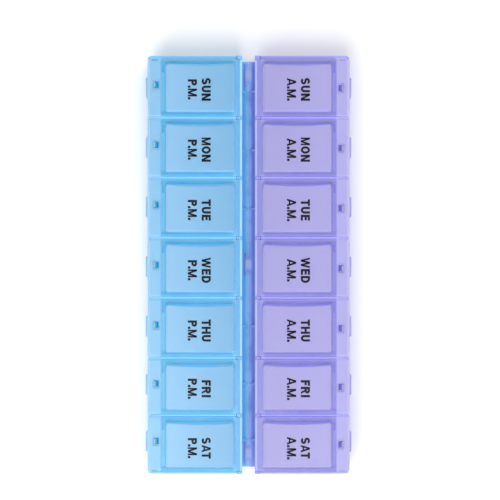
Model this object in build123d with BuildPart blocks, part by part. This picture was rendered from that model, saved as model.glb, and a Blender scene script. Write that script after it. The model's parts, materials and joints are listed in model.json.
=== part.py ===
from build123d import *
import os

# Locking weekly pill organizer: an evening row and a morning row of seven lidded compartments, joined
# along the middle. Millimetres. +X runs through the week from Sunday to Saturday, +Y is the morning
# side, -Y the evening side and +Z is up. The origin is the middle of the footprint.
# Both rows are drawn on the morning side, so here Y counts outwards from the joint between the rows.
# The evening row is then mirrored about the XZ plane.

DAYS = ["sun", "mon", "tue", "wed", "thu", "fri", "sat"]
ROWS = ["pm", "am"]

# The week: one bay to a day. The last two bays are a little shorter than the others.
bay_lengths = [33.8, 33.8, 33.8, 33.8, 33.8, 32.3, 32.3]
row_start = -116.45

# How far a form is sunk into its neighbour or a cut runs past its edge, how near counts as equal, and
# the width and height of the block that a bay is cut out with
overrun = 1.0
near = 0.01
bay_block_size = 150.0

# Heights
floor_thickness = 1.6
rim_height = 25.4
inner_wall_height = 23.6
plate_bottom = 25.6
plate_thickness = 1.6
plate_top = plate_bottom + plate_thickness
panel_top = 30.4

# Distances from the joint between the rows
joint_gap_half = 0.15
inner_wall_face = 3.9
outer_wall_face = 57.0
lid_outer = 56.6

# Tray
inner_wall = 1.5
tray_length = 235.4
tray_corner = 2.4
tray_foot_round = 1.2
partition = 1.4
compartment_inner = inner_wall_face + inner_wall
compartment_outer = 47.3
compartment_scoop = 5.0
compartment_corner = 1.2
compartment_wall = 1.4
gallery_inner = compartment_outer + compartment_wall
gallery_outer = 55.1
rim_step_width = 3.1

# Flange at the foot that joins the two rows
flange_height = 2.4
flange_end_setback = 0.8
gusset_thickness = 1.0
gusset_height = 6.6
gusset_inset = 0.45
clip_positions = [-109.0, 0.0, 109.0]
clipped_bay = 3
clip_neck_length = 8.4
clip_head_length = 13.0
clip_neck_reach = 1.1
clip_head_reach = 2.6
clip_clearance = 0.15

# Hinge
hinge_y = 5.1
hinge_z = plate_bottom
barrel_radius = 1.6
barrel_end_gap = 0.25
pin_radius = 0.8
pin_length = 0.95
pin_clearance = 0.05
bore_end_wall = 0.225
ear_thickness = 1.6
ear_foot_width = 2 * barrel_radius
ear_notch_clearance = 0.2

# Lid
lid_gap = 0.5
lid_corner = 1.4
lid_edge_round = 1.3
wall_root = 0.2
panel_margin = 3.75
panel_inner = 8.4
panel_outer = 46.2
panel_crown_bow = 1.0
panel_foot_bow = 0.4
panel_corner = 1.2
panel_round = 0.6
slope_sunday_side = 0.9
slope_other_sides = 0.6
shell_thickness = 1.5
seal_clearance = 0.3
seal_thickness = 1.0
seal_depth = 1.8
seal_inner = 7.2
seal_corner = 1.6
groove_inner = 47.0
groove_outer = 49.3
groove_margin = 3.15
groove_depth = 0.5
pocket_width = 1.3
pocket_depth = 0.4
pocket_end_length = 4.8
pocket_middle_length = 13.6
pocket_end_margin = 5.85
end_mark_size = (1.1, 3.2)
end_mark_depth = 0.6
end_mark_inset = 1.0
end_mark_y = 52.8

# Catch slot in the lid and the hook that comes up through it
slot_inner = 50.6
slot_outer = 53.0
slot_length = 3.6
dish_width = 4.0
dish_length = 5.6
dish_corner = 1.2
dish_depth = 0.7
hook_length = 2.8
hook_inner = 51.8
hook_outer = 52.7
hook_nose = 53.4
nose_gap = 0.15
nose_land = 0.25
hook_top = plate_top - 0.05
hook_foot_height = 15.0
hook_root_height = 22.0
hook_shift = {"pm": -1.8, "am": 0.1}

# Push button
button_shift = -0.7
button_press = 1.0
pad_length = 11.8
pad_height = 9.0
pad_corner = 1.5
pad_round = 0.9
pad_face = 58.3
pad_centre_height = 16.7
pad_dish_radius = 16.0
pad_dish_depth = 0.45
window_clearance = 0.2
window_cut_depth = 5.6
button_flange_length = 15.4
button_flange_height = 11.0
button_flange_inner = 53.6
button_flange_outer = gallery_outer - 0.2
button_flange_corner = 1.0
arm_thickness = 0.8
arm_wall_gap = 0.3
arm_root_x = 2.2
arm_knee_x = 4.2
arm_knee_y = 52.9
arm_tip_x = 7.2
arm_tip_y = gallery_inner + arm_wall_gap + arm_thickness / 2 + button_press
arm_bottom = 12.6
arm_height = 4.6


def division_x(index):
    """Where a boundary between bays lies, from 0 at the Sunday end to 7 at the Saturday end."""
    return row_start + sum(bay_lengths[:index])


def day_x(index):
    """Where the middle of a day's bay lies along the week."""
    return (division_x(index) + division_x(index + 1)) / 2


def compartment_length(index):
    """Clear length of a day's compartment along the week."""
    return bay_lengths[index] - partition


def make_tray(row):
    """One moulding: seven compartments, the button gallery, hinge ears and the joining flange.

    It is kept as seven bays that meet face to face in the middle of each partition.
    """
    bays = range(len(DAYS))
    tray_end = tray_length / 2
    first_ear_end = division_x(0) + ear_thickness / 2
    last_ear_start = division_x(len(DAYS)) - ear_thickness / 2

    with BuildPart() as tray:
        # Block with rounded upright corners and a rounded foot
        with BuildSketch():
            with Locations((0, (inner_wall_face + outer_wall_face) / 2)):
                RectangleRounded(tray_length, outer_wall_face - inner_wall_face, tray_corner)
        extrude(amount=rim_height)
        fillet(tray.faces().sort_by(Axis.Z)[0].edges(), tray_foot_round)

        # Compartments with scooped floors
        compartment_width = compartment_outer - compartment_inner
        with BuildSketch(Plane.XY.offset(floor_thickness)):
            for i in bays:
                with Locations((day_x(i), compartment_inner + compartment_width / 2)):
                    Rectangle(compartment_length(i), compartment_width)
        extrude(amount=rim_height, mode=Mode.SUBTRACT)
        floor_edges = (
            tray.edges()
            .filter_by(Axis.X)
            .filter_by_position(Axis.Z, floor_thickness - near, floor_thickness + near)
        )
        fillet(floor_edges, compartment_scoop)
        fillet(compartment_end_edges(tray), compartment_corner)

        # Button gallery, one pocket behind each lid's outer strip
        gallery_width = gallery_outer - gallery_inner
        with BuildSketch(Plane.XY.offset(floor_thickness)):
            for i in bays:
                with Locations((day_x(i), gallery_inner + gallery_width / 2)):
                    Rectangle(compartment_length(i), gallery_width)
        extrude(amount=rim_height, mode=Mode.SUBTRACT)

        # Windows for the thumb pads
        window_centres = [(day_x(i) + button_shift, outer_wall_face, pad_centre_height) for i in bays]
        with Locations(*window_centres):
            Box(
                pad_length + 2 * window_clearance,
                window_cut_depth,
                pad_height + 2 * window_clearance,
                mode=Mode.SUBTRACT,
            )

        # Step along the inner wall that leaves room for the hinge barrels
        with Locations((0, inner_wall_face, inner_wall_height)):
            Box(
                tray_length + 2 * overrun,
                2 * rim_step_width,
                rim_height,
                align=(Align.CENTER, Align.CENTER, Align.MIN),
                mode=Mode.SUBTRACT,
            )

        # Hinge ears on the divisions and at the ends of the row
        with BuildSketch(*[Plane.YZ.offset(division_x(i) - ear_thickness / 2) for i in bays[1:]]):
            ear_outline()
        extrude(amount=ear_thickness)
        with BuildSketch(Plane.YZ.offset(-tray_end)):
            ear_outline()
        extrude(amount=first_ear_end + tray_end)
        with BuildSketch(Plane.YZ.offset(last_ear_start)):
            ear_outline()
        extrude(amount=tray_end - last_ear_start)

        # One bore line through all the ears
        with BuildSketch(Plane.YZ.offset(-tray_end + bore_end_wall)):
            with Locations((hinge_y, hinge_z)):
                Circle(pin_radius + pin_clearance)
        extrude(amount=tray_length - 2 * bore_end_wall, mode=Mode.SUBTRACT)

        # Flange at the foot, with a gusset at every compartment but the one that has the middle clip
        flange_reach = compartment_inner - joint_gap_half
        with Locations((0, joint_gap_half + flange_reach / 2, flange_height / 2)):
            Box(tray_length - 2 * flange_end_setback, flange_reach, flange_height)
        gusset_bays = [i for i in bays if i != clipped_bay]
        gusset_root = inner_wall_face + inner_wall / 2
        with BuildSketch(*[Plane.YZ.offset(day_x(i) - gusset_thickness / 2) for i in gusset_bays]):
            with BuildLine():
                Polyline(
                    (gusset_inset, flange_height / 2),
                    (gusset_root, flange_height / 2),
                    (gusset_root, flange_height + gusset_height),
                    (inner_wall_face, flange_height + gusset_height),
                    (gusset_inset, flange_height),
                    close=True,
                )
            make_face()
        extrude(amount=gusset_thickness)

        # Clips: tongues on the morning row, sockets in the evening row
        if row == "am":
            with BuildSketch():
                with Locations(*[(x, 0) for x in clip_positions]):
                    clip_outline(-1, 0)
            extrude(amount=flange_height)
        else:
            with BuildSketch():
                with Locations(*[(x, 0) for x in clip_positions]):
                    clip_outline(1, clip_clearance)
            extrude(amount=flange_height, mode=Mode.SUBTRACT)
            mirror(about=Plane.XZ, mode=Mode.REPLACE)

    for i in bays:
        bay_start = division_x(i) if i > 0 else -tray_end
        bay_end = division_x(i + 1) if i < len(DAYS) - 1 else tray_end
        with BuildPart() as bay:
            add(tray.part)
            with Locations(((bay_start + bay_end) / 2, 0, 0)):
                Box(bay_end - bay_start, bay_block_size, bay_block_size, mode=Mode.INTERSECT)
        bay.part.label = f"{row}_tray_{DAYS[i]}"
        export_step(bay.part, f"parts/{bay.part.label}.step")


def compartment_end_edges(tray):
    """The edges round both end faces of each compartment, without the ones at the rim."""
    walls = [division_x(i) + side * partition / 2 for i in range(len(DAYS) + 1) for side in (-1, 1)]

    def borders_an_end(edge):
        centre = edge.center()
        on_a_wall = any(abs(centre.X - wall) < near for wall in walls)
        flat = edge.bounding_box().size.X < near
        return on_a_wall and flat and centre.Z < rim_height - near

    return tray.edges().filter_by(borders_an_end)


def ear_outline():
    """Side view of a hinge ear: a round head on a straight foot."""
    foot_bottom = inner_wall_height - overrun
    with Locations((hinge_y, hinge_z)):
        Circle(barrel_radius)
    with Locations((hinge_y, (foot_bottom + hinge_z) / 2)):
        Rectangle(ear_foot_width, hinge_z - foot_bottom)


def clip_outline(side, clearance):
    """Plan of a T-shaped tongue, or of its socket where a clearance is given."""
    neck_start = -side * (joint_gap_half + overrun)
    neck_end = side * (clip_neck_reach + clearance)
    head_start = side * (clip_neck_reach - clearance)
    head_end = side * (clip_head_reach + clearance)
    with Locations((0, (neck_start + neck_end) / 2)):
        Rectangle(clip_neck_length + 2 * clearance, abs(neck_end - neck_start))
    with Locations((0, (head_start + head_end) / 2)):
        Rectangle(clip_head_length + 2 * clearance, abs(head_end - head_start))


def panel_section(index, height, slope_sunday, slope_others, bow, corner):
    """Plan of the raised panel at one height, grown by its slopes. Its Sunday edge bows inwards."""
    sunday = division_x(index) + panel_margin - slope_sunday
    saturday = division_x(index + 1) - panel_margin + slope_others
    inner = panel_inner - slope_others
    outer = panel_outer + slope_others
    with BuildSketch(Plane.XY.offset(height)) as section:
        with BuildLine():
            bow_middle = (sunday + bow, (inner + outer) / 2)
            ThreePointArc((sunday, inner), bow_middle, (sunday, outer))
            Polyline((sunday, outer), (saturday, outer), (saturday, inner), (sunday, inner))
        make_face()
        fillet(section.vertices(), corner)
    return section.sketch


def make_lid(row, index):
    """One lid: flat plate, raised hollow panel, catch slot, sealing rib and moulded hinge pins."""
    x = day_x(index)
    slot_x = x + hook_shift[row]
    lid_length = bay_lengths[index] - lid_gap
    barrel_length = bay_lengths[index] - ear_thickness - 2 * barrel_end_gap
    plate_width = lid_outer - hinge_y
    notch_length = (lid_length - barrel_length) / 2
    notch_x = (lid_length - notch_length) / 2
    notch_width = barrel_radius + ear_notch_clearance

    with BuildPart() as lid:
        # Plate, cut back at its two hinge corners to clear the ears
        with BuildSketch(Plane.XY.offset(plate_bottom)):
            with Locations((x, hinge_y + plate_width / 2)):
                Rectangle(lid_length, plate_width)
            with Locations((x - notch_x, hinge_y), (x + notch_x, hinge_y)):
                Rectangle(notch_length, 2 * notch_width, mode=Mode.SUBTRACT)
        extrude(amount=plate_thickness)
        outer_top_edge = lid.faces().sort_by(Axis.Z)[-1].edges().sort_by(Axis.Y)[-1]
        fillet(outer_top_edge, lid_edge_round)
        upright_corners = lid.edges().filter_by(Axis.Z).group_by(Axis.Y)[-1]
        fillet(upright_corners, lid_corner)

        # Hinge barrel with a pin at each end
        with BuildSketch(Plane.YZ.offset(x - barrel_length / 2)):
            with Locations((hinge_y, hinge_z)):
                Circle(barrel_radius)
        extrude(amount=barrel_length)
        with BuildSketch(Plane.YZ.offset(x - barrel_length / 2 - pin_length)):
            with Locations((hinge_y, hinge_z)):
                Circle(pin_radius)
        extrude(amount=barrel_length + 2 * pin_length)

        # Raised panel, hollow underneath
        foot_height = plate_top - wall_root
        foot = panel_section(
            index,
            foot_height,
            slope_sunday_side,
            slope_other_sides,
            panel_foot_bow,
            panel_corner,
        )
        crown = panel_section(index, panel_top, 0, 0, panel_crown_bow, panel_corner)
        loft([foot, crown])
        fillet(lid.faces().sort_by(Axis.Z)[-1].edges(), panel_round)
        hollow_foot = panel_section(
            index,
            plate_bottom - wall_root,
            slope_sunday_side - shell_thickness,
            slope_other_sides - shell_thickness,
            panel_foot_bow,
            panel_corner / 2,
        )
        hollow_crown = panel_section(
            index,
            panel_top - shell_thickness,
            -shell_thickness,
            -shell_thickness,
            panel_crown_bow,
            panel_corner / 2,
        )
        loft([hollow_foot, hollow_crown], mode=Mode.SUBTRACT)

        # Sealing rib that drops just inside the compartment
        seal_length = compartment_length(index) - 2 * seal_clearance
        seal_width = compartment_outer - seal_clearance - seal_inner
        with BuildSketch(Plane.XY.offset(plate_bottom + wall_root)):
            with Locations((x, seal_inner + seal_width / 2)):
                RectangleRounded(seal_length, seal_width, seal_corner)
                RectangleRounded(
                    seal_length - 2 * seal_thickness,
                    seal_width - 2 * seal_thickness,
                    seal_corner - seal_thickness,
                    mode=Mode.SUBTRACT,
                )
        extrude(amount=-seal_depth - wall_root)

        # Groove between the panel and the outer strip, with three pockets in it
        groove_y = (groove_inner + groove_outer) / 2
        pocket_spacing = bay_lengths[index] / 2 - pocket_end_margin
        with BuildSketch(Plane.XY.offset(plate_top)):
            with Locations((x, groove_y)):
                Rectangle(bay_lengths[index] - 2 * groove_margin, groove_outer - groove_inner)
        extrude(amount=-groove_depth, mode=Mode.SUBTRACT)
        with BuildSketch(Plane.XY.offset(plate_top - groove_depth)):
            with Locations((x, groove_y)):
                Rectangle(pocket_middle_length, pocket_width)
            with Locations((x - pocket_spacing, groove_y), (x + pocket_spacing, groove_y)):
                Rectangle(pocket_end_length, pocket_width)
        extrude(amount=-pocket_depth, mode=Mode.SUBTRACT)

        # Catch slot in a shallow dish
        slot_y = (slot_inner + slot_outer) / 2
        with BuildSketch(Plane.XY.offset(plate_top)):
            with Locations((slot_x, slot_y + (slot_outer - hook_outer) / 2)):
                RectangleRounded(dish_length, dish_width, dish_corner)
        extrude(amount=-dish_depth, mode=Mode.SUBTRACT)
        with BuildSketch(Plane.XY.offset(plate_top)):
            with Locations((slot_x, slot_y)):
                Rectangle(slot_length, slot_outer - slot_inner)
        extrude(amount=-plate_thickness, mode=Mode.SUBTRACT)

        # Small mark on the strip at the two ends of the row
        if index in (0, len(DAYS) - 1):
            end_side = 1 if index else -1
            mark_x = x + end_side * (lid_length / 2 - end_mark_inset)
            with BuildSketch(Plane.XY.offset(plate_top)):
                with Locations((mark_x, end_mark_y)):
                    Rectangle(*end_mark_size)
            extrude(amount=-end_mark_depth, mode=Mode.SUBTRACT)

        if row == "pm":
            mirror(about=Plane.XZ, mode=Mode.REPLACE)

    lid.part.label = f"{row}_lid_{DAYS[index]}"
    export_step(lid.part, f"parts/{lid.part.label}.step")


def make_button(row, index):
    """One push button: thumb pad, flange that keeps it in, two spring arms and the catch hook."""
    x = day_x(index) + button_shift
    hook_x = day_x(index) + hook_shift[row]

    with BuildPart() as button:
        # Thumb pad with rounded edges and a shallow dish for the thumb
        with BuildSketch(outward_plane(x, button_flange_inner, pad_centre_height)):
            RectangleRounded(pad_length, pad_height, pad_corner)
        extrude(amount=pad_face - button_flange_inner)
        fillet(button.faces().sort_by(Axis.Y)[-1].edges(), pad_round)
        with Locations((x, pad_face - pad_dish_depth + pad_dish_radius, pad_centre_height)):
            Cylinder(pad_dish_radius, pad_length - 2 * pad_corner, rotation=(0, 90, 0), mode=Mode.SUBTRACT)

        # Flange behind the window
        with BuildSketch(outward_plane(x, button_flange_inner, pad_centre_height)):
            RectangleRounded(button_flange_length, button_flange_height, button_flange_corner)
        extrude(amount=button_flange_outer - button_flange_inner)

        # Hook: an upright leaf whose nose points outwards over the edge of the slot
        with BuildSketch(Plane.YZ.offset(hook_x - hook_length / 2)):
            nose_bottom = plate_top - dish_depth + nose_gap
            with BuildLine():
                Polyline(
                    (button_flange_outer - nose_land, hook_foot_height),
                    (button_flange_outer - nose_land, hook_root_height),
                    (hook_outer, hook_root_height + hook_outer - hook_inner),
                    (hook_outer, nose_bottom),
                    (hook_nose, nose_bottom),
                    (hook_nose, nose_bottom + nose_land),
                    (hook_outer, hook_top),
                    (hook_inner, hook_top),
                    (hook_inner, hook_foot_height),
                    close=True,
                )
            make_face()
        extrude(amount=hook_length)

        # Two spring arms that push back against the compartment wall
        with BuildSketch(Plane.XY.offset(arm_bottom)):
            for side in (-1, 1):
                with BuildLine():
                    Polyline(
                        (x + side * arm_root_x, button_flange_inner + arm_thickness / 2),
                        (x + side * arm_knee_x, arm_knee_y),
                        (x + side * arm_tip_x, arm_tip_y),
                    )
                trace(line_width=arm_thickness)
        extrude(amount=arm_height)

        if row == "pm":
            mirror(about=Plane.XZ, mode=Mode.REPLACE)

    button.part.label = f"{row}_button_{DAYS[index]}"
    export_step(button.part, f"parts/{button.part.label}.step")


def outward_plane(x, y, z):
    """A plane that faces the outer side of the row, with its own X along the week."""
    return Plane(origin=(x, y, z), x_dir=(1, 0, 0), z_dir=(0, 1, 0))


os.makedirs("parts", exist_ok=True)
for row in ROWS:
    make_tray(row)
    for index in range(len(DAYS)):
        make_lid(row, index)
        make_button(row, index)
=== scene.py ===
import json
import math

import bpy
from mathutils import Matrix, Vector


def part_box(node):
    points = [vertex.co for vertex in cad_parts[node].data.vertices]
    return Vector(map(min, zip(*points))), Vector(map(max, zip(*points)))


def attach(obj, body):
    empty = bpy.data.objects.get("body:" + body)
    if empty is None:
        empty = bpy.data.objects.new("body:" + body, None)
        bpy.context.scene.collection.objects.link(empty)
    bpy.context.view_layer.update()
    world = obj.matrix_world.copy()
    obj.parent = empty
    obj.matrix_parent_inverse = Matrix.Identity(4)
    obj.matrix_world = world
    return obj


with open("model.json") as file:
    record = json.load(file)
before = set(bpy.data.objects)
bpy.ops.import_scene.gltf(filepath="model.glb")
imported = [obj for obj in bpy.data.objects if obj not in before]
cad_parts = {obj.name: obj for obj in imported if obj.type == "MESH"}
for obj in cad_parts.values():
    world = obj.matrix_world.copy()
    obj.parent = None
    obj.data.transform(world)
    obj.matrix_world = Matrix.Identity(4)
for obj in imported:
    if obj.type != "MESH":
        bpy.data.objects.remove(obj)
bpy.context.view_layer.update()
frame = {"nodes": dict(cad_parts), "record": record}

# Locking weekly pill organizer. Metres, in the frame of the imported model: +X through the week,
# +Y the morning row, -Y the evening row, +Z up.

MM = 0.001


def mm(*values):
    """Millimetres as metres."""
    return tuple(value * MM for value in values)


DAYS = ["sun", "mon", "tue", "wed", "thu", "fri", "sat"]
ROW_WORDS = {"pm": "P.M.", "am": "A.M."}

# The top of the lids' raised panels
PANEL_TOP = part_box("pm_lid_sun")[1][2]

# Print on the lids: its lines across the rows, and how far it stands from each lid's middle
CAP_HEIGHT = 5.1 * MM
DAY_BASELINE = {"pm": -26.3 * MM, "am": 29.3 * MM}
HALF_DAY_DROP = 7.75 * MM
PRINT_SHIFT = {"fri": 0.8 * MM, "sat": 1.8 * MM}
USUAL_PRINT_SHIFT = 1.2 * MM
PRINT_LIFT = 0.012 * MM
WORD_WIDTHS = {
    "SUN": 12.8 * MM,
    "MON": 13.6 * MM,
    "TUE": 11.9 * MM,
    "WED": 14.2 * MM,
    "THU": 12.4 * MM,
    "FRI": 9.6 * MM,
    "SAT": 11.8 * MM,
    "P.M.": 11.3 * MM,
    "A.M.": 12.7 * MM,
}

# Letter shapes, in cap heights: widths of upright stems and of level bars, and gaps between letters
STEM = 0.28
BAR = 0.235
LETTER_GAP = 0.14
CLOSE_PAIRS = {
    "AT": 0.02,
    "P.": 0.0,
    "A.": 0.06,
    ".M": 0.10,
    "M.": 0.10,
    "FR": 0.12,
    "WE": 0.12,
    "TU": 0.10,
    "TH": 0.10,
}
# Degrees in each step of a curved stroke, and the fewest steps
BEND_STEP = 12
LEAST_BEND_STEPS = 4

# The tints follow places on the parts. A span is where a mask is 0 and where it is 1, and a zone is
# its centre and its reach.
# Distances from the joint between the rows, on the trays
IN_WELL = mm(4.4, 4.2)
NEAR_SEAM = mm(2.3, 1.1)
GUSSET_ZONE = mm(2.1, 1.7)
PAST_EARS = mm(6.1, 6.3)
BEFORE_STRIPS = mm(49.9, 49.4)
GALLERY_ZONE = mm(51.9, 3.3)
# On the buttons
ON_NOSE = mm(52.6, 52.7)
ON_PAD = mm(55.1, 55.2)
# On the lids
HINGE_TOP = mm(4.6, 4.1)
HINGE_EDGE = mm(4.9, 4.6)
IN_CREASE = mm(6.8, 6.2)
INNER_BAND = mm(9.4, 8.2)
ACROSS_PANEL = mm(8.4, 46.2)
ON_STRIP = mm(49.3, 49.6)
OUTER_ROUND = mm(55.3, 56.1)
MARK_ZONE_ACROSS = mm(52.8, 1.65)
# Heights, on the trays
OVER_FLOOR = mm(1.4, 1.5)
OVER_FLANGE = mm(2.5, 2.7)
AT_RIM = mm(25.1, 25.2)
# On the buttons
NOSE_HEIGHT = mm(26.4, 26.5)
# On the lids
OUT_OF_POCKET = mm(26.4, 26.6)
OUT_OF_GROOVE = mm(26.8, 27.1)
ON_SLOPE = mm(27.22, 27.35)
ON_PANEL = (PANEL_TOP - 0.7 * MM, PANEL_TOP - 0.1 * MM)
AT_CROWN = (PANEL_TOP - 0.25 * MM, PANEL_TOP - 0.05 * MM)
MARK_ZONE_UP = mm(26.6, 0.03)
# Along the week: the row of lids, the tongues' spacing, and distances from the nearest tongue
LIDS_ZONE = mm(0.35, 116.5)
CLIP_SPACING = 109.0 * MM
NEAR_CLIP = mm(3.9, 1.5)
# Shares of a lid's length, from its Sunday end: where the painted highlights at that end, the
# slopes' tints and the pockets' painted shade change, and how strong the plate's painted highlight
# is
SUNDAY_EDGE = (0.030, 0.015)
SUNDAY_FADE = (0.05, 0.0)
SUNDAY_PALENESS = 0.75
SUNDAY_SLOPE = (0.17, 0.15)
DEEP_POCKETS = (0.28, 0.25)
# Shares of a lid's length, from its middle: the painted highlights at its ends, the painted glow on
# its end faces and the zone of the end marks' painted shade
PALE_ENDS = (0.482, 0.492)
END_FACES = (0.491, 0.493)
MARK_ZONE_ALONG = (0.465, 0.018)
# Shares of a bay's length, from its middle
BETWEEN_BAY_ENDS = (0.484, 0.481)

# Relief of the plastic: scale of its noise per metre, depth and strength
WAVES = (90.0, 0.10 * MM, 0.25)
GRAIN = (2400.0, 0.02 * MM, 0.12)
# Rubbing marks, flow of the melt and the streak of painted glow at the seam: scales of their
# noise, spans in it, and how much smoother and rougher the rubbing makes the plastic
RUB_SCALE = 210.0
RUB_SPAN = (0.3, 0.7)
RUB_SMOOTHER = 0.06
RUB_ROUGHER = 0.10
FLOW_SPAN = (0.35, 0.65)
GLOW_STREAK_SCALE = 130.0
GLOW_STREAK_SPAN = (0.25, 0.55)
# Painted highlights on the buttons' edges: their radius, and the cosines between the rounded
# direction of the surface and its own
EDGE_RADIUS = 0.3 * MM
EDGE_SAMPLES = 4
EDGE_TURN = (0.995, 0.90)
# How the plastic bends light, how far red, green and blue spread in it, and where no painted glow
# is added
PLASTIC_IOR = 1.49
LIGHT_REACH = mm(3.0, 4.5, 6.0)
NO_LIGHT = (0, 0, 0)

# Ink of the print
INK_DARK = (0.001, 0.001, 0.004)
INK_PALE = (0.006, 0.006, 0.014)
INK_SCALE = 900.0
INK_SPECULAR = 0.15
INK_ROUGHNESS = (0.35, 0.55)

# The photograph's view: straight down on the lids, with Sunday at the top. The view's width is
# taken at the lids' height.
EYE_HEIGHT = 0.958
EYE_X = -8.3 * MM
EYE_Y = 0.8 * MM
SENSOR = 36.0
VIEW_WIDTH = 281.3 * MM
LID_HEIGHT = 27.2 * MM

# Studio: the light of the surroundings, and where the floor fades to white
WORLD_LIGHT = 0.5
WHITE = (1, 1, 1, 1)
FLOOR_REACH = 6.0
FLOOR_FADE = (0.3, 1.5)
FLOOR_DARK = (0.90, 0.90, 0.905)
FLOOR_PALE = (0.93, 0.93, 0.935)
FLOOR_SCALE = 6.0
FLOOR_ROUGHNESS = 0.8
SOFT_BOXES = {
    "key_light": dict(place=(0.5, -0.2, 0.95), size=0.8, power=9.3),
    "fill_light": dict(place=(-0.5, 0.5, 1.2), size=1.0, power=7),
}

# Colours of the plastics. Those named light are a faint painted glow. Many others are painted light
# and shade: on the lids, painted highlights on the edges and the hinge, painted light in the groove
# and on the panel's sloping sides, with a deeper tint on the slope that faces Sunday as painted
# shade, and painted shade in the crease, the pockets and the end marks; the panel is darker and the
# band beside it lighter towards the joint; on the trays, painted shade in the well and a painted
# highlight on the rim; on the buttons, painted highlights on the pale edges and painted shade in
# the hidden tint. On a lid the band is the plate around the raised panel, the slope is the panel's
# long side, which faces Sunday, and the banks are its other sides. On a tray the well is the space
# between the rows.
LID_TINTS = {
    "pm": dict(
        panel=(0.26, 0.51, 0.75),
        panel_inner=(0.18, 0.42, 0.64),
        band=(0.085, 0.415, 0.685),
        band_deep=(0.065, 0.385, 0.665),
        band_inner=(0.153, 0.46, 0.76),
        crease_shade=(0.13, 0.42, 0.71),
        slope_shade_and_light=(0.17, 0.72, 1.0),
        bank_lit=(0.24, 0.68, 1.0),
        groove_lit=(0.17, 0.56, 0.83),
        pocket=(0.07, 0.42, 0.76),
        strip=(0.255, 0.53, 0.77),
        edge=(0.42, 0.68, 0.93),
        hinge=(0.44, 0.73, 1.0),
        mark=(0.20, 0.37, 0.50),
        end_light=(0.22, 0.42, 0.58),
        slope_light=(0.03, 0.04, 0.13),
        bank_light=(0.085, 0.12, 0.175),
        hinge_light=(0.05, 0.11, 0.15),
    ),
    "am": dict(
        panel=(0.37, 0.35, 0.67),
        panel_inner=(0.35, 0.33, 0.63),
        band=(0.24, 0.23, 0.59),
        band_deep=(0.21, 0.20, 0.57),
        band_inner=(0.285, 0.28, 0.65),
        crease_shade=(0.255, 0.26, 0.59),
        slope_shade_and_light=(0.38, 0.38, 1.0),
        bank_lit=(0.52, 0.49, 1.0),
        groove_lit=(0.30, 0.285, 0.76),
        pocket=(0.22, 0.21, 0.70),
        strip=(0.41, 0.39, 0.73),
        edge=(0.58, 0.56, 0.91),
        hinge=(0.48, 0.51, 0.97),
        mark=(0.36, 0.35, 0.56),
        end_light=(0.34, 0.33, 0.60),
        slope_light=(0.03, 0.03, 0.06),
        bank_light=(0.09, 0.09, 0.135),
        hinge_light=(0.07, 0.05, 0.13),
    ),
}
TRAY_TINTS = {
    "pm": dict(
        main=(0.20, 0.56, 0.92),
        deep=(0.16, 0.51, 0.89),
        rim=(0.45, 0.80, 1.0),
        well_shade=(0.14, 0.42, 0.72),
        well_light=(0.01, 0.10, 0.16),
        seam_light=(0.10, 0.17, 0.28),
        clip_light=(0.18, 0.23, 0.26),
        gusset_light=(0.08, 0.19, 0.24),
        gallery_light=(0.005, 0.155, 0.21),
        rim_light=(0.06, 0.18, 0.24),
    ),
    "am": dict(
        main=(0.34, 0.34, 0.86),
        deep=(0.29, 0.29, 0.82),
        rim=(0.60, 0.59, 0.98),
        well_shade=(0.22, 0.26, 0.62),
        well_light=(0.01, 0.035, 0.12),
        seam_light=(0.10, 0.17, 0.28),
        clip_light=(0.18, 0.23, 0.26),
        gusset_light=(0.11, 0.135, 0.21),
        gallery_light=(0.09, 0.09, 0.22),
        rim_light=(0.11, 0.11, 0.20),
    ),
}
BUTTON_TINTS = {
    "pm": dict(
        main=(0.33, 0.60, 0.84),
        deep=(0.29, 0.56, 0.82),
        pale=(0.44, 0.68, 0.88),
        hidden_shade=(0.0, 0.15, 0.24),
        gallery_light=(0.005, 0.155, 0.21),
    ),
    "am": dict(
        main=(0.46, 0.44, 0.76),
        deep=(0.42, 0.40, 0.74),
        pale=(0.56, 0.53, 0.80),
        hidden_shade=(0.02, 0.02, 0.20),
        gallery_light=(0.09, 0.09, 0.22),
    ),
}


def node_adder(tree):
    """A short way to add a node to a tree, with its inputs set or linked to other nodes."""

    def add(kind, inputs=(), **settings):
        node = tree.nodes.new(kind)
        for setting, value in settings.items():
            setattr(node, setting, value)
        for socket, value in dict(inputs).items():
            if isinstance(value, bpy.types.NodeSocket):
                tree.links.new(value, node.inputs[socket])
            else:
                node.inputs[socket].default_value = value
        return node

    return add


def new_material(name):
    """A material with a Principled shader, and short ways to add nodes and to feed the shader."""
    material = bpy.data.materials.new(name)
    material.use_nodes = True
    tree = material.node_tree
    shader = tree.nodes["Principled BSDF"]

    def feed(source, socket):
        tree.links.new(source, shader.inputs[socket])

    return material, shader, node_adder(tree), feed


def blend_of(add, factor, first, second):
    """Mixes two colours, each a tuple or the output of another node."""
    first = first if isinstance(first, bpy.types.NodeSocket) else (*first, 1)
    second = second if isinstance(second, bpy.types.NodeSocket) else (*second, 1)
    mix = add("ShaderNodeMix", {"Factor": factor, "A": first, "B": second}, data_type="RGBA")
    return mix.outputs["Result"]


def step_of(add, value, span=(0.0, 1.0), bottom=0.0, top=1.0):
    """A mask that goes from bottom at the span's first value to top at its second."""
    levels = {"From Min": span[0], "From Max": span[1], "To Min": bottom, "To Max": top}
    return add("ShaderNodeMapRange", {"Value": value, **levels}).outputs["Result"]


def fade_of(add, value, span, first, second):
    """The first colour where the value is before a span, the second past it."""
    return blend_of(add, step_of(add, value, span), first, second)


def math_of(add, operation, *values):
    """The result of a Math node for one to three values."""
    return add("ShaderNodeMath", dict(enumerate(values)), operation=operation).outputs["Value"]


def near_of(add, value, zone):
    """1 where the value is within a zone."""
    return math_of(add, "COMPARE", value, *zone)


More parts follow.
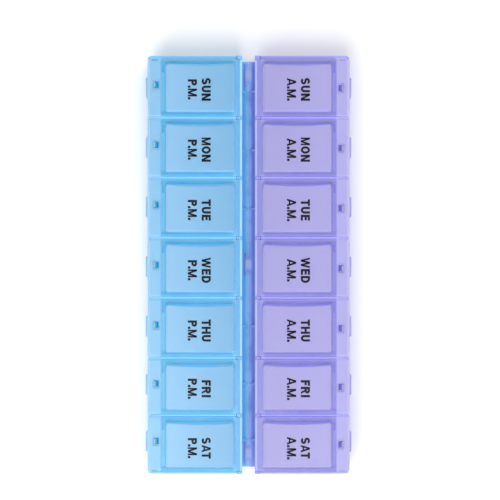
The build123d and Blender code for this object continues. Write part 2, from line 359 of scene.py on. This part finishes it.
def all_of(add, first, *others):
    """1 where all the masks are."""
    for other in others:
        first = math_of(add, "MULTIPLY", first, other)
    return first


def any_of(add, first, *others):
    """1 where at least one of the masks is."""
    for other in others:
        first = math_of(add, "MAXIMUM", first, other)
    return first


def noise_of(add, place, scale, **more):
    """Noise at a scale, with other inputs of the node as words."""
    inputs = {"Vector": place, "Scale": scale, **more}
    return add("ShaderNodeTexNoise", inputs).outputs["Fac"]


def relief_of(add, place, relief, **more):
    """The direction of a surface with a relief of noise on it."""
    scale, depth, strength = relief
    height = noise_of(add, place, scale)
    inputs = {"Height": height, "Strength": strength, "Distance": depth, **more}
    return add("ShaderNodeBump", inputs).outputs["Normal"]


def places_in(add):
    """The place in the model, and its distance along the week, across from the joint, and up."""
    place = add("ShaderNodeTexCoord").outputs["Object"]
    split = add("ShaderNodeSeparateXYZ", {"Vector": place})
    across = math_of(add, "ABSOLUTE", split.outputs["Y"])
    return place, split.outputs["X"], across, split.outputs["Z"]


def shares_of_node(add):
    """Distances from the node's Sunday end and from its middle, as shares of its length."""
    generated = add("ShaderNodeTexCoord").outputs["Generated"]
    along = add("ShaderNodeSeparateXYZ", {"Vector": generated}).outputs["X"]
    return along, math_of(add, "ABSOLUTE", math_of(add, "SUBTRACT", along, 0.5))


def flow_tint(add, place, tint, first, second, scale):
    """Slow changes between two tints where the melt flowed into the mould."""
    flow = noise_of(add, place, scale, Detail=3.0, Distortion=0.6)
    return fade_of(add, flow, FLOW_SPAN, tint[first], tint[second])


def edge_mask(add):
    """1 along convex and hollow edges, 0 on faces."""
    smooth = add("ShaderNodeBevel", {"Radius": EDGE_RADIUS}, samples=EDGE_SAMPLES).outputs["Normal"]
    flat = add("ShaderNodeNewGeometry").outputs["Normal"]
    turn = add("ShaderNodeVectorMath", {0: smooth, 1: flat}, operation="DOT_PRODUCT")
    return step_of(add, turn.outputs["Value"], EDGE_TURN)


def white_rays(add):
    """1 for the rays that show the surroundings: seen directly, in gloss or through plastic."""
    rays = add("ShaderNodeLightPath").outputs
    shown = [rays[kind] for kind in ("Is Camera Ray", "Is Glossy Ray", "Is Transmission Ray")]
    return any_of(add, *shown)


def plastic_surface(add, feed, shader, place, roughness, see_through, scatter):
    """Satin moulded polypropylene: fine grain, soft rubbing marks and light that spreads inside."""
    rubbed = noise_of(add, place, RUB_SCALE, Detail=7.0, Distortion=1.2)
    smoothest, roughest = roughness - RUB_SMOOTHER, roughness + RUB_ROUGHER
    feed(step_of(add, rubbed, RUB_SPAN, smoothest, roughest), "Roughness")
    wavy = relief_of(add, place, WAVES)
    feed(relief_of(add, place, GRAIN, Normal=wavy), "Normal")
    shader.inputs["IOR"].default_value = PLASTIC_IOR
    shader.inputs["Transmission Weight"].default_value = see_through
    shader.inputs["Subsurface Weight"].default_value = scatter
    shader.inputs["Subsurface Radius"].default_value = LIGHT_REACH
    shader.inputs["Subsurface Scale"].default_value = 1.0
    shader.inputs["Emission Strength"].default_value = 1.0


def tray_plastic(name, tint):
    """Plastic of the trays, with painted shade in the well, a painted highlight and glow on the
    rim, and painted glow between the rows and in the button gallery.
    """
    material, shader, add, feed = new_material(name)
    place, along_row, across, height = places_in(add)
    from_middle = shares_of_node(add)[1]
    in_well = step_of(add, across, IN_WELL)
    at_rim = step_of(add, height, AT_RIM)
    past_ears = step_of(add, across, PAST_EARS)
    under_lids = all_of(add, past_ears, near_of(add, along_row, LIDS_ZONE))
    flow = flow_tint(add, place, tint, "deep", "main", scale=35.0)
    # Painted shade in the well between the rows
    body = blend_of(add, in_well, flow, tint["well_shade"])
    # Painted highlight on the rim under the lids
    rim = blend_of(add, under_lids, tint["main"], tint["rim"])
    feed(blend_of(add, at_rim, body, rim), "Base Color")

    # Painted glow between the rows: an uneven streak along the seam, and glow on the tongues and on
    # the gussets over the flanges
    near_seam = step_of(add, across, NEAR_SEAM)
    glow_streak = step_of(add, noise_of(add, place, GLOW_STREAK_SCALE), GLOW_STREAK_SPAN)
    on_seam = all_of(add, near_seam, glow_streak)
    in_between = blend_of(add, on_seam, tint["well_light"], tint["seam_light"])
    from_clip = math_of(add, "PINGPONG", along_row, CLIP_SPACING / 2)
    at_clip = all_of(add, near_seam, step_of(add, from_clip, NEAR_CLIP))
    in_between = blend_of(add, at_clip, in_between, tint["clip_light"])
    over_flange = step_of(add, height, OVER_FLANGE)
    on_gusset = all_of(add, near_of(add, across, GUSSET_ZONE), over_flange)
    in_between = blend_of(add, on_gusset, in_between, tint["gusset_light"])

    # Painted glow in the button gallery inside the outer wall, and on the rim beside the lids'
    # panels
    in_gallery = all_of(
        add,
        near_of(add, across, GALLERY_ZONE),
        step_of(add, from_middle, BETWEEN_BAY_ENDS),
        step_of(add, height, OVER_FLOOR),
    )
    light = blend_of(add, in_gallery, NO_LIGHT, tint["gallery_light"])
    light = blend_of(add, in_well, light, in_between)
    before_strips = step_of(add, across, BEFORE_STRIPS)
    lit_rim = all_of(add, at_rim, under_lids, before_strips)
    feed(blend_of(add, lit_rim, light, tint["rim_light"]), "Emission Color")
    plastic_surface(add, feed, shader, place, roughness=0.4, see_through=0.25, scatter=0.25)
    return material


def button_plastic(name, tint):
    """Plastic of the buttons: painted highlights on the edges, painted shade on all but the pad and
    the hook's nose, and painted glow on those two.
    """
    material, shader, add, feed = new_material(name)
    place, _, across, height = places_in(add)
    on_nose = all_of(add, step_of(add, across, ON_NOSE), step_of(add, height, NOSE_HEIGHT))
    in_sight = any_of(add, step_of(add, across, ON_PAD), on_nose)
    flow = flow_tint(add, place, tint, "deep", "main", scale=60.0)
    # Painted highlights on the edges
    body = blend_of(add, edge_mask(add), flow, tint["pale"])
    feed(blend_of(add, in_sight, tint["hidden_shade"], body), "Base Color")
    feed(blend_of(add, in_sight, tint["gallery_light"], NO_LIGHT), "Emission Color")
    plastic_surface(add, feed, shader, place, roughness=0.36, see_through=0.15, scatter=0.4)
    return material


def lid_plastic(name, tint):
    """Plastic of the lids, tinted place by place with painted light and shade, with the panel
    darker and the band beside it lighter towards the joint.
    """
    material, shader, add, feed = new_material(name)
    place, _, across, height = places_in(add)
    along, from_middle = shares_of_node(add)
    on_slope = step_of(add, height, ON_SLOPE)
    to_sunday = step_of(add, along, SUNDAY_SLOPE)

    # Plate, with painted highlights at its ends and near its Sunday end, lighter beside the panel
    # towards the joint, painted shade in the crease, painted light in the groove, and painted shade
    # in the groove's pockets, darker towards Sunday
    plate = flow_tint(add, place, tint, "band_deep", "band", scale=45.0)
    plate = fade_of(add, across, INNER_BAND, plate, tint["band_inner"])
    plate = fade_of(add, across, IN_CREASE, plate, tint["crease_shade"])
    near_sunday = step_of(add, along, SUNDAY_FADE, top=SUNDAY_PALENESS)
    plate = blend_of(add, near_sunday, plate, tint["edge"])
    plate = fade_of(add, from_middle, PALE_ENDS, plate, tint["edge"])
    plate = fade_of(add, height, OUT_OF_GROOVE, tint["groove_lit"], plate)
    pockets = fade_of(add, along, DEEP_POCKETS, tint["groove_lit"], tint["pocket"])
    plate = fade_of(add, height, OUT_OF_POCKET, pockets, plate)

    # Raised panel, darker towards the joint: its sloping sides have painted light, and its long
    # slope, which faces Sunday, a deeper tint than the other banks as painted shade
    slopes = blend_of(add, to_sunday, tint["bank_lit"], tint["slope_shade_and_light"])
    top = fade_of(add, across, ACROSS_PANEL, tint["panel_inner"], tint["panel"])
    inner = fade_of(add, height, ON_PANEL, blend_of(add, on_slope, plate, slopes), top)

    # Outer strip with painted highlights on its rounded outer edge and its Sunday end, painted
    # shade in the marks at the ends of the row, and a painted highlight on the hinge edge
    marked = all_of(
        add,
        near_of(add, from_middle, MARK_ZONE_ALONG),
        near_of(add, across, MARK_ZONE_ACROSS),
        near_of(add, height, MARK_ZONE_UP),
    )
    strip = fade_of(add, across, OUTER_ROUND, tint["strip"], tint["edge"])
    strip = fade_of(add, along, SUNDAY_EDGE, strip, tint["edge"])
    strip = blend_of(add, marked, strip, tint["mark"])
    tinted = fade_of(add, across, ON_STRIP, inner, strip)
    feed(fade_of(add, across, HINGE_EDGE, tinted, tint["hinge"]), "Base Color")

    # Painted glow on the slopes, the hinge and the end faces
    slope_light = blend_of(add, to_sunday, tint["bank_light"], tint["slope_light"])
    light = blend_of(add, on_slope, NO_LIGHT, slope_light)
    light = fade_of(add, height, AT_CROWN, light, NO_LIGHT)
    light = fade_of(add, across, HINGE_TOP, light, tint["hinge_light"])
    feed(fade_of(add, from_middle, END_FACES, light, tint["end_light"]), "Emission Color")
    plastic_surface(add, feed, shader, place, roughness=0.34, see_through=0.22, scatter=0.35)
    return material


def print_ink():
    """Near-black printed ink, a little uneven."""
    material, shader, add, feed = new_material("print_ink")
    place = add("ShaderNodeTexCoord").outputs["Object"]
    blotch = noise_of(add, place, INK_SCALE, Detail=4.0)
    feed(blend_of(add, blotch, INK_DARK, INK_PALE), "Base Color")
    smoothest, roughest = INK_ROUGHNESS
    feed(step_of(add, blotch, bottom=smoothest, top=roughest), "Roughness")
    shader.inputs["Specular IOR Level"].default_value = INK_SPECULAR
    return material


def studio_white():
    """Floor that keeps the object's shadow and looks white far away."""
    material, shader, add, feed = new_material("studio_floor")
    place = add("ShaderNodeTexCoord").outputs["Object"]
    distance = add("ShaderNodeVectorMath", {0: place}, operation="LENGTH").outputs["Value"]
    feed(all_of(add, step_of(add, distance, FLOOR_FADE), white_rays(add)), "Emission Strength")
    feed(blend_of(add, noise_of(add, place, FLOOR_SCALE), FLOOR_DARK, FLOOR_PALE), "Base Color")
    shader.inputs["Emission Color"].default_value = WHITE
    shader.inputs["Roughness"].default_value = FLOOR_ROUGHNESS
    return material


def block(x0, y0, x1, y1):
    """A level rectangle."""
    return [(x0, y0), (x1, y0), (x1, y1), (x0, y1)]


def slant(foot, head, width, low=0.0, high=1.0):
    """A slanted stroke with level ends, from its foot's left corner to its head's left corner."""
    return [(foot, low), (foot + width, low), (head + width, high), (head, high)]


def bend(centre_x, centre_y, reach_x, reach_y, start, end):
    """A curved stroke: part of a ring between two angles in degrees."""
    steps = max(LEAST_BEND_STEPS, round(abs(end - start) / BEND_STEP))
    ring = []
    for i in range(steps + 1):
        angle = math.radians(start + (end - start) * i / steps)
        outer = (centre_x + reach_x * math.cos(angle), centre_y + reach_y * math.sin(angle))
        inner = (
            centre_x + (reach_x - STEM) * math.cos(angle),
            centre_y + (reach_y - BAR) * math.sin(angle),
        )
        ring.append((outer, inner))
    return [[a[0], b[0], b[1], a[1]] for a, b in zip(ring, ring[1:])]


def letter_shapes():
    """Each capital as flat polygons, one cap height high, starting at x = 0."""
    stem = block(0, 0, STEM, 1)
    hook = (1 + BAR) / 4
    bowl = 0.30
    return {
        "A": [slant(0, 0.355, 0.23), slant(0.71, 0.355, 0.23), block(0.16, 0.2, 0.78, 0.36)],
        "D": [
            stem,
            block(STEM, 1 - BAR, 0.40, 1),
            block(STEM, 0, 0.40, BAR),
            *bend(0.40, 0.5, 0.44, 0.5, -90, 90),
        ],
        "E": [
            stem,
            block(STEM, 0, 0.70, BAR),
            block(STEM, 1 - BAR, 0.70, 1),
            block(STEM, 0.42, 0.65, 0.42 + BAR),
        ],
        "F": [stem, block(STEM, 1 - BAR, 0.68, 1), block(STEM, 0.41, 0.60, 0.41 + BAR)],
        "H": [stem, block(0.61, 0, 0.61 + STEM, 1), block(STEM, 0.41, 0.61, 0.41 + BAR)],
        "I": [stem],
        "M": [
            block(0, 0, 0.20, 1),
            block(0.78, 0, 0.98, 1),
            slant(0.375, 0, 0.23),
            slant(0.375, 0.75, 0.23),
        ],
        "N": [stem, block(0.62, 0, 0.62 + STEM, 1), slant(0.57, 0, 0.26)],
        "O": bend(0.47, 0.5, 0.47, 0.5, 0, 360),
        "P": [
            stem,
            block(STEM, 1 - BAR, 0.46, 1),
            block(STEM, 1 - 2 * bowl, 0.46, 1 - 2 * bowl + BAR),
            *bend(0.46, 1 - bowl, 0.32, bowl, -90, 90),
        ],
        "R": [
            stem,
            block(STEM, 1 - BAR, 0.48, 1),
            block(STEM, 0.42, 0.48, 0.42 + BAR),
            *bend(0.48, 0.71, 0.32, 0.29, -90, 90),
            slant(0.60, 0.36, 0.25, 0, 0.46),
        ],
        "S": [
            *bend(0.40, 1 - hook, 0.40, hook, 25, 270),
            *bend(0.40, hook, 0.40, hook, 90, -155),
        ],
        "T": [block(0, 1 - BAR, 0.80, 1), block(0.40 - STEM / 2, 0, 0.40 + STEM / 2, 1 - BAR)],
        "U": [
            block(0, 0.40, STEM, 1),
            block(0.82 - STEM, 0.40, 0.82, 1),
            *bend(0.41, 0.40, 0.41, 0.40, 180, 360),
        ],
        "W": [
            slant(0.26, 0, 0.22),
            slant(0.26, 0.52, 0.22),
            slant(0.78, 0.52, 0.22),
            slant(0.78, 1.04, 0.22),
        ],
        ".": [block(0, 0, STEM, STEM)],
    }


def print_word(name, word, centre_x, baseline_y, body, letters, ink):
    """One word of print as a thin mesh on a lid's panel."""
    polygons = []
    pen = 0.0
    for i, letter in enumerate(word):
        shape = letters[letter]
        polygons += [[(x + pen, y) for x, y in polygon] for polygon in shape]
        pen += max(x for polygon in shape for x, y in polygon)
        pen += CLOSE_PAIRS.get(word[i:i + 2], LETTER_GAP)
    width = max(x for polygon in polygons for x, y in polygon)
    stretch = WORD_WIDTHS[word] / width
    vertices, faces = [], []
    for polygon in polygons:
        faces.append(list(range(len(vertices), len(vertices) + len(polygon))))
        for x, y in polygon:
            across = centre_x + (x - width / 2) * stretch
            vertices.append((across, baseline_y + y * CAP_HEIGHT, PANEL_TOP + PRINT_LIFT))
    mesh = bpy.data.meshes.new(name)
    mesh.from_pydata(vertices, [], faces)
    for face in mesh.polygons:
        if face.normal.z < 0:
            face.flip()
    mesh.materials.append(ink)
    piece = bpy.data.objects.new(name, mesh)
    bpy.context.scene.collection.objects.link(piece)
    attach(piece, body)


def dress(node, material):
    """Gives a CAD node its finish."""
    obj = frame["nodes"][node]
    obj.data.materials.clear()
    obj.data.materials.append(material)


def dress_row(row, letters, ink):
    """Finishes for one row's tray, lids and buttons, and the print on its lids."""
    tray_finish = tray_plastic(f"{row}_tray_plastic", TRAY_TINTS[row])
    lid_finish = lid_plastic(f"{row}_lid_plastic", LID_TINTS[row])
    button_finish = button_plastic(f"{row}_button_plastic", BUTTON_TINTS[row])
    for node in frame["record"]["behaviour"]["bodies"][f"{row}_tray"]:
        dress(node, tray_finish)
    day_line = DAY_BASELINE[row]
    half_line = day_line - HALF_DAY_DROP
    for day in DAYS:
        lid = f"{row}_lid_{day}"
        dress(lid, lid_finish)
        dress(f"{row}_button_{day}", button_finish)
        lid_low, lid_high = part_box(lid)
        middle = (lid_low[0] + lid_high[0]) / 2 + PRINT_SHIFT.get(day, USUAL_PRINT_SHIFT)
        print_word(f"{lid}_day", day.upper(), middle, day_line, lid, letters, ink)
        print_word(f"{lid}_half", ROW_WORDS[row], middle, half_line, lid, letters, ink)


def soft_box(name, place, size, power):
    """A square area lamp that faces the organizer."""
    data = bpy.data.lights.new(name, "AREA")
    data.shape = "SQUARE"
    data.size = size
    data.energy = power
    lamp = bpy.data.objects.new(name, data)
    lamp.location = place
    lamp.rotation_euler = (-Vector(place)).to_track_quat("-Z", "Y").to_euler()
    bpy.context.scene.collection.objects.link(lamp)


def make_floor():
    """A wide pale floor under the organizer."""
    mesh = bpy.data.meshes.new("floor")
    low, high = -FLOOR_REACH, FLOOR_REACH
    corners = [(x, y, 0) for x, y in block(low, low, high, high)]
    mesh.from_pydata(corners, [], [(0, 1, 2, 3)])
    floor = bpy.data.objects.new("floor", mesh)
    mesh.materials.append(studio_white())
    bpy.context.scene.collection.objects.link(floor)


def make_world():
    """Even surroundings that look white and light the object less strongly."""
    world = bpy.data.worlds.new("studio")
    world.use_nodes = True
    tree = world.node_tree
    add = node_adder(tree)
    background = tree.nodes["Background"]
    background.inputs["Color"].default_value = WHITE
    strength = step_of(add, white_rays(add), bottom=WORLD_LIGHT)
    tree.links.new(strength, background.inputs["Strength"])
    bpy.context.scene.world = world


def make_camera():
    """The photograph's camera."""
    data = bpy.data.cameras.new("photo_camera")
    data.sensor_width = SENSOR
    data.lens = SENSOR * (EYE_HEIGHT - LID_HEIGHT) / VIEW_WIDTH
    camera = bpy.data.objects.new("photo_camera", data)
    camera.location = (EYE_X, EYE_Y, EYE_HEIGHT)
    camera.rotation_euler = (0, 0, math.radians(90))
    bpy.context.scene.collection.objects.link(camera)
    bpy.context.scene.camera = camera


letters = letter_shapes()
ink = print_ink()
for row in ROW_WORDS:
    dress_row(row, letters, ink)

make_floor()
make_world()
for name, settings in SOFT_BOXES.items():
    soft_box(name, **settings)
make_camera()

scene = bpy.context.scene
scene.view_settings.view_transform = "Standard"
scene.frame_set(1)
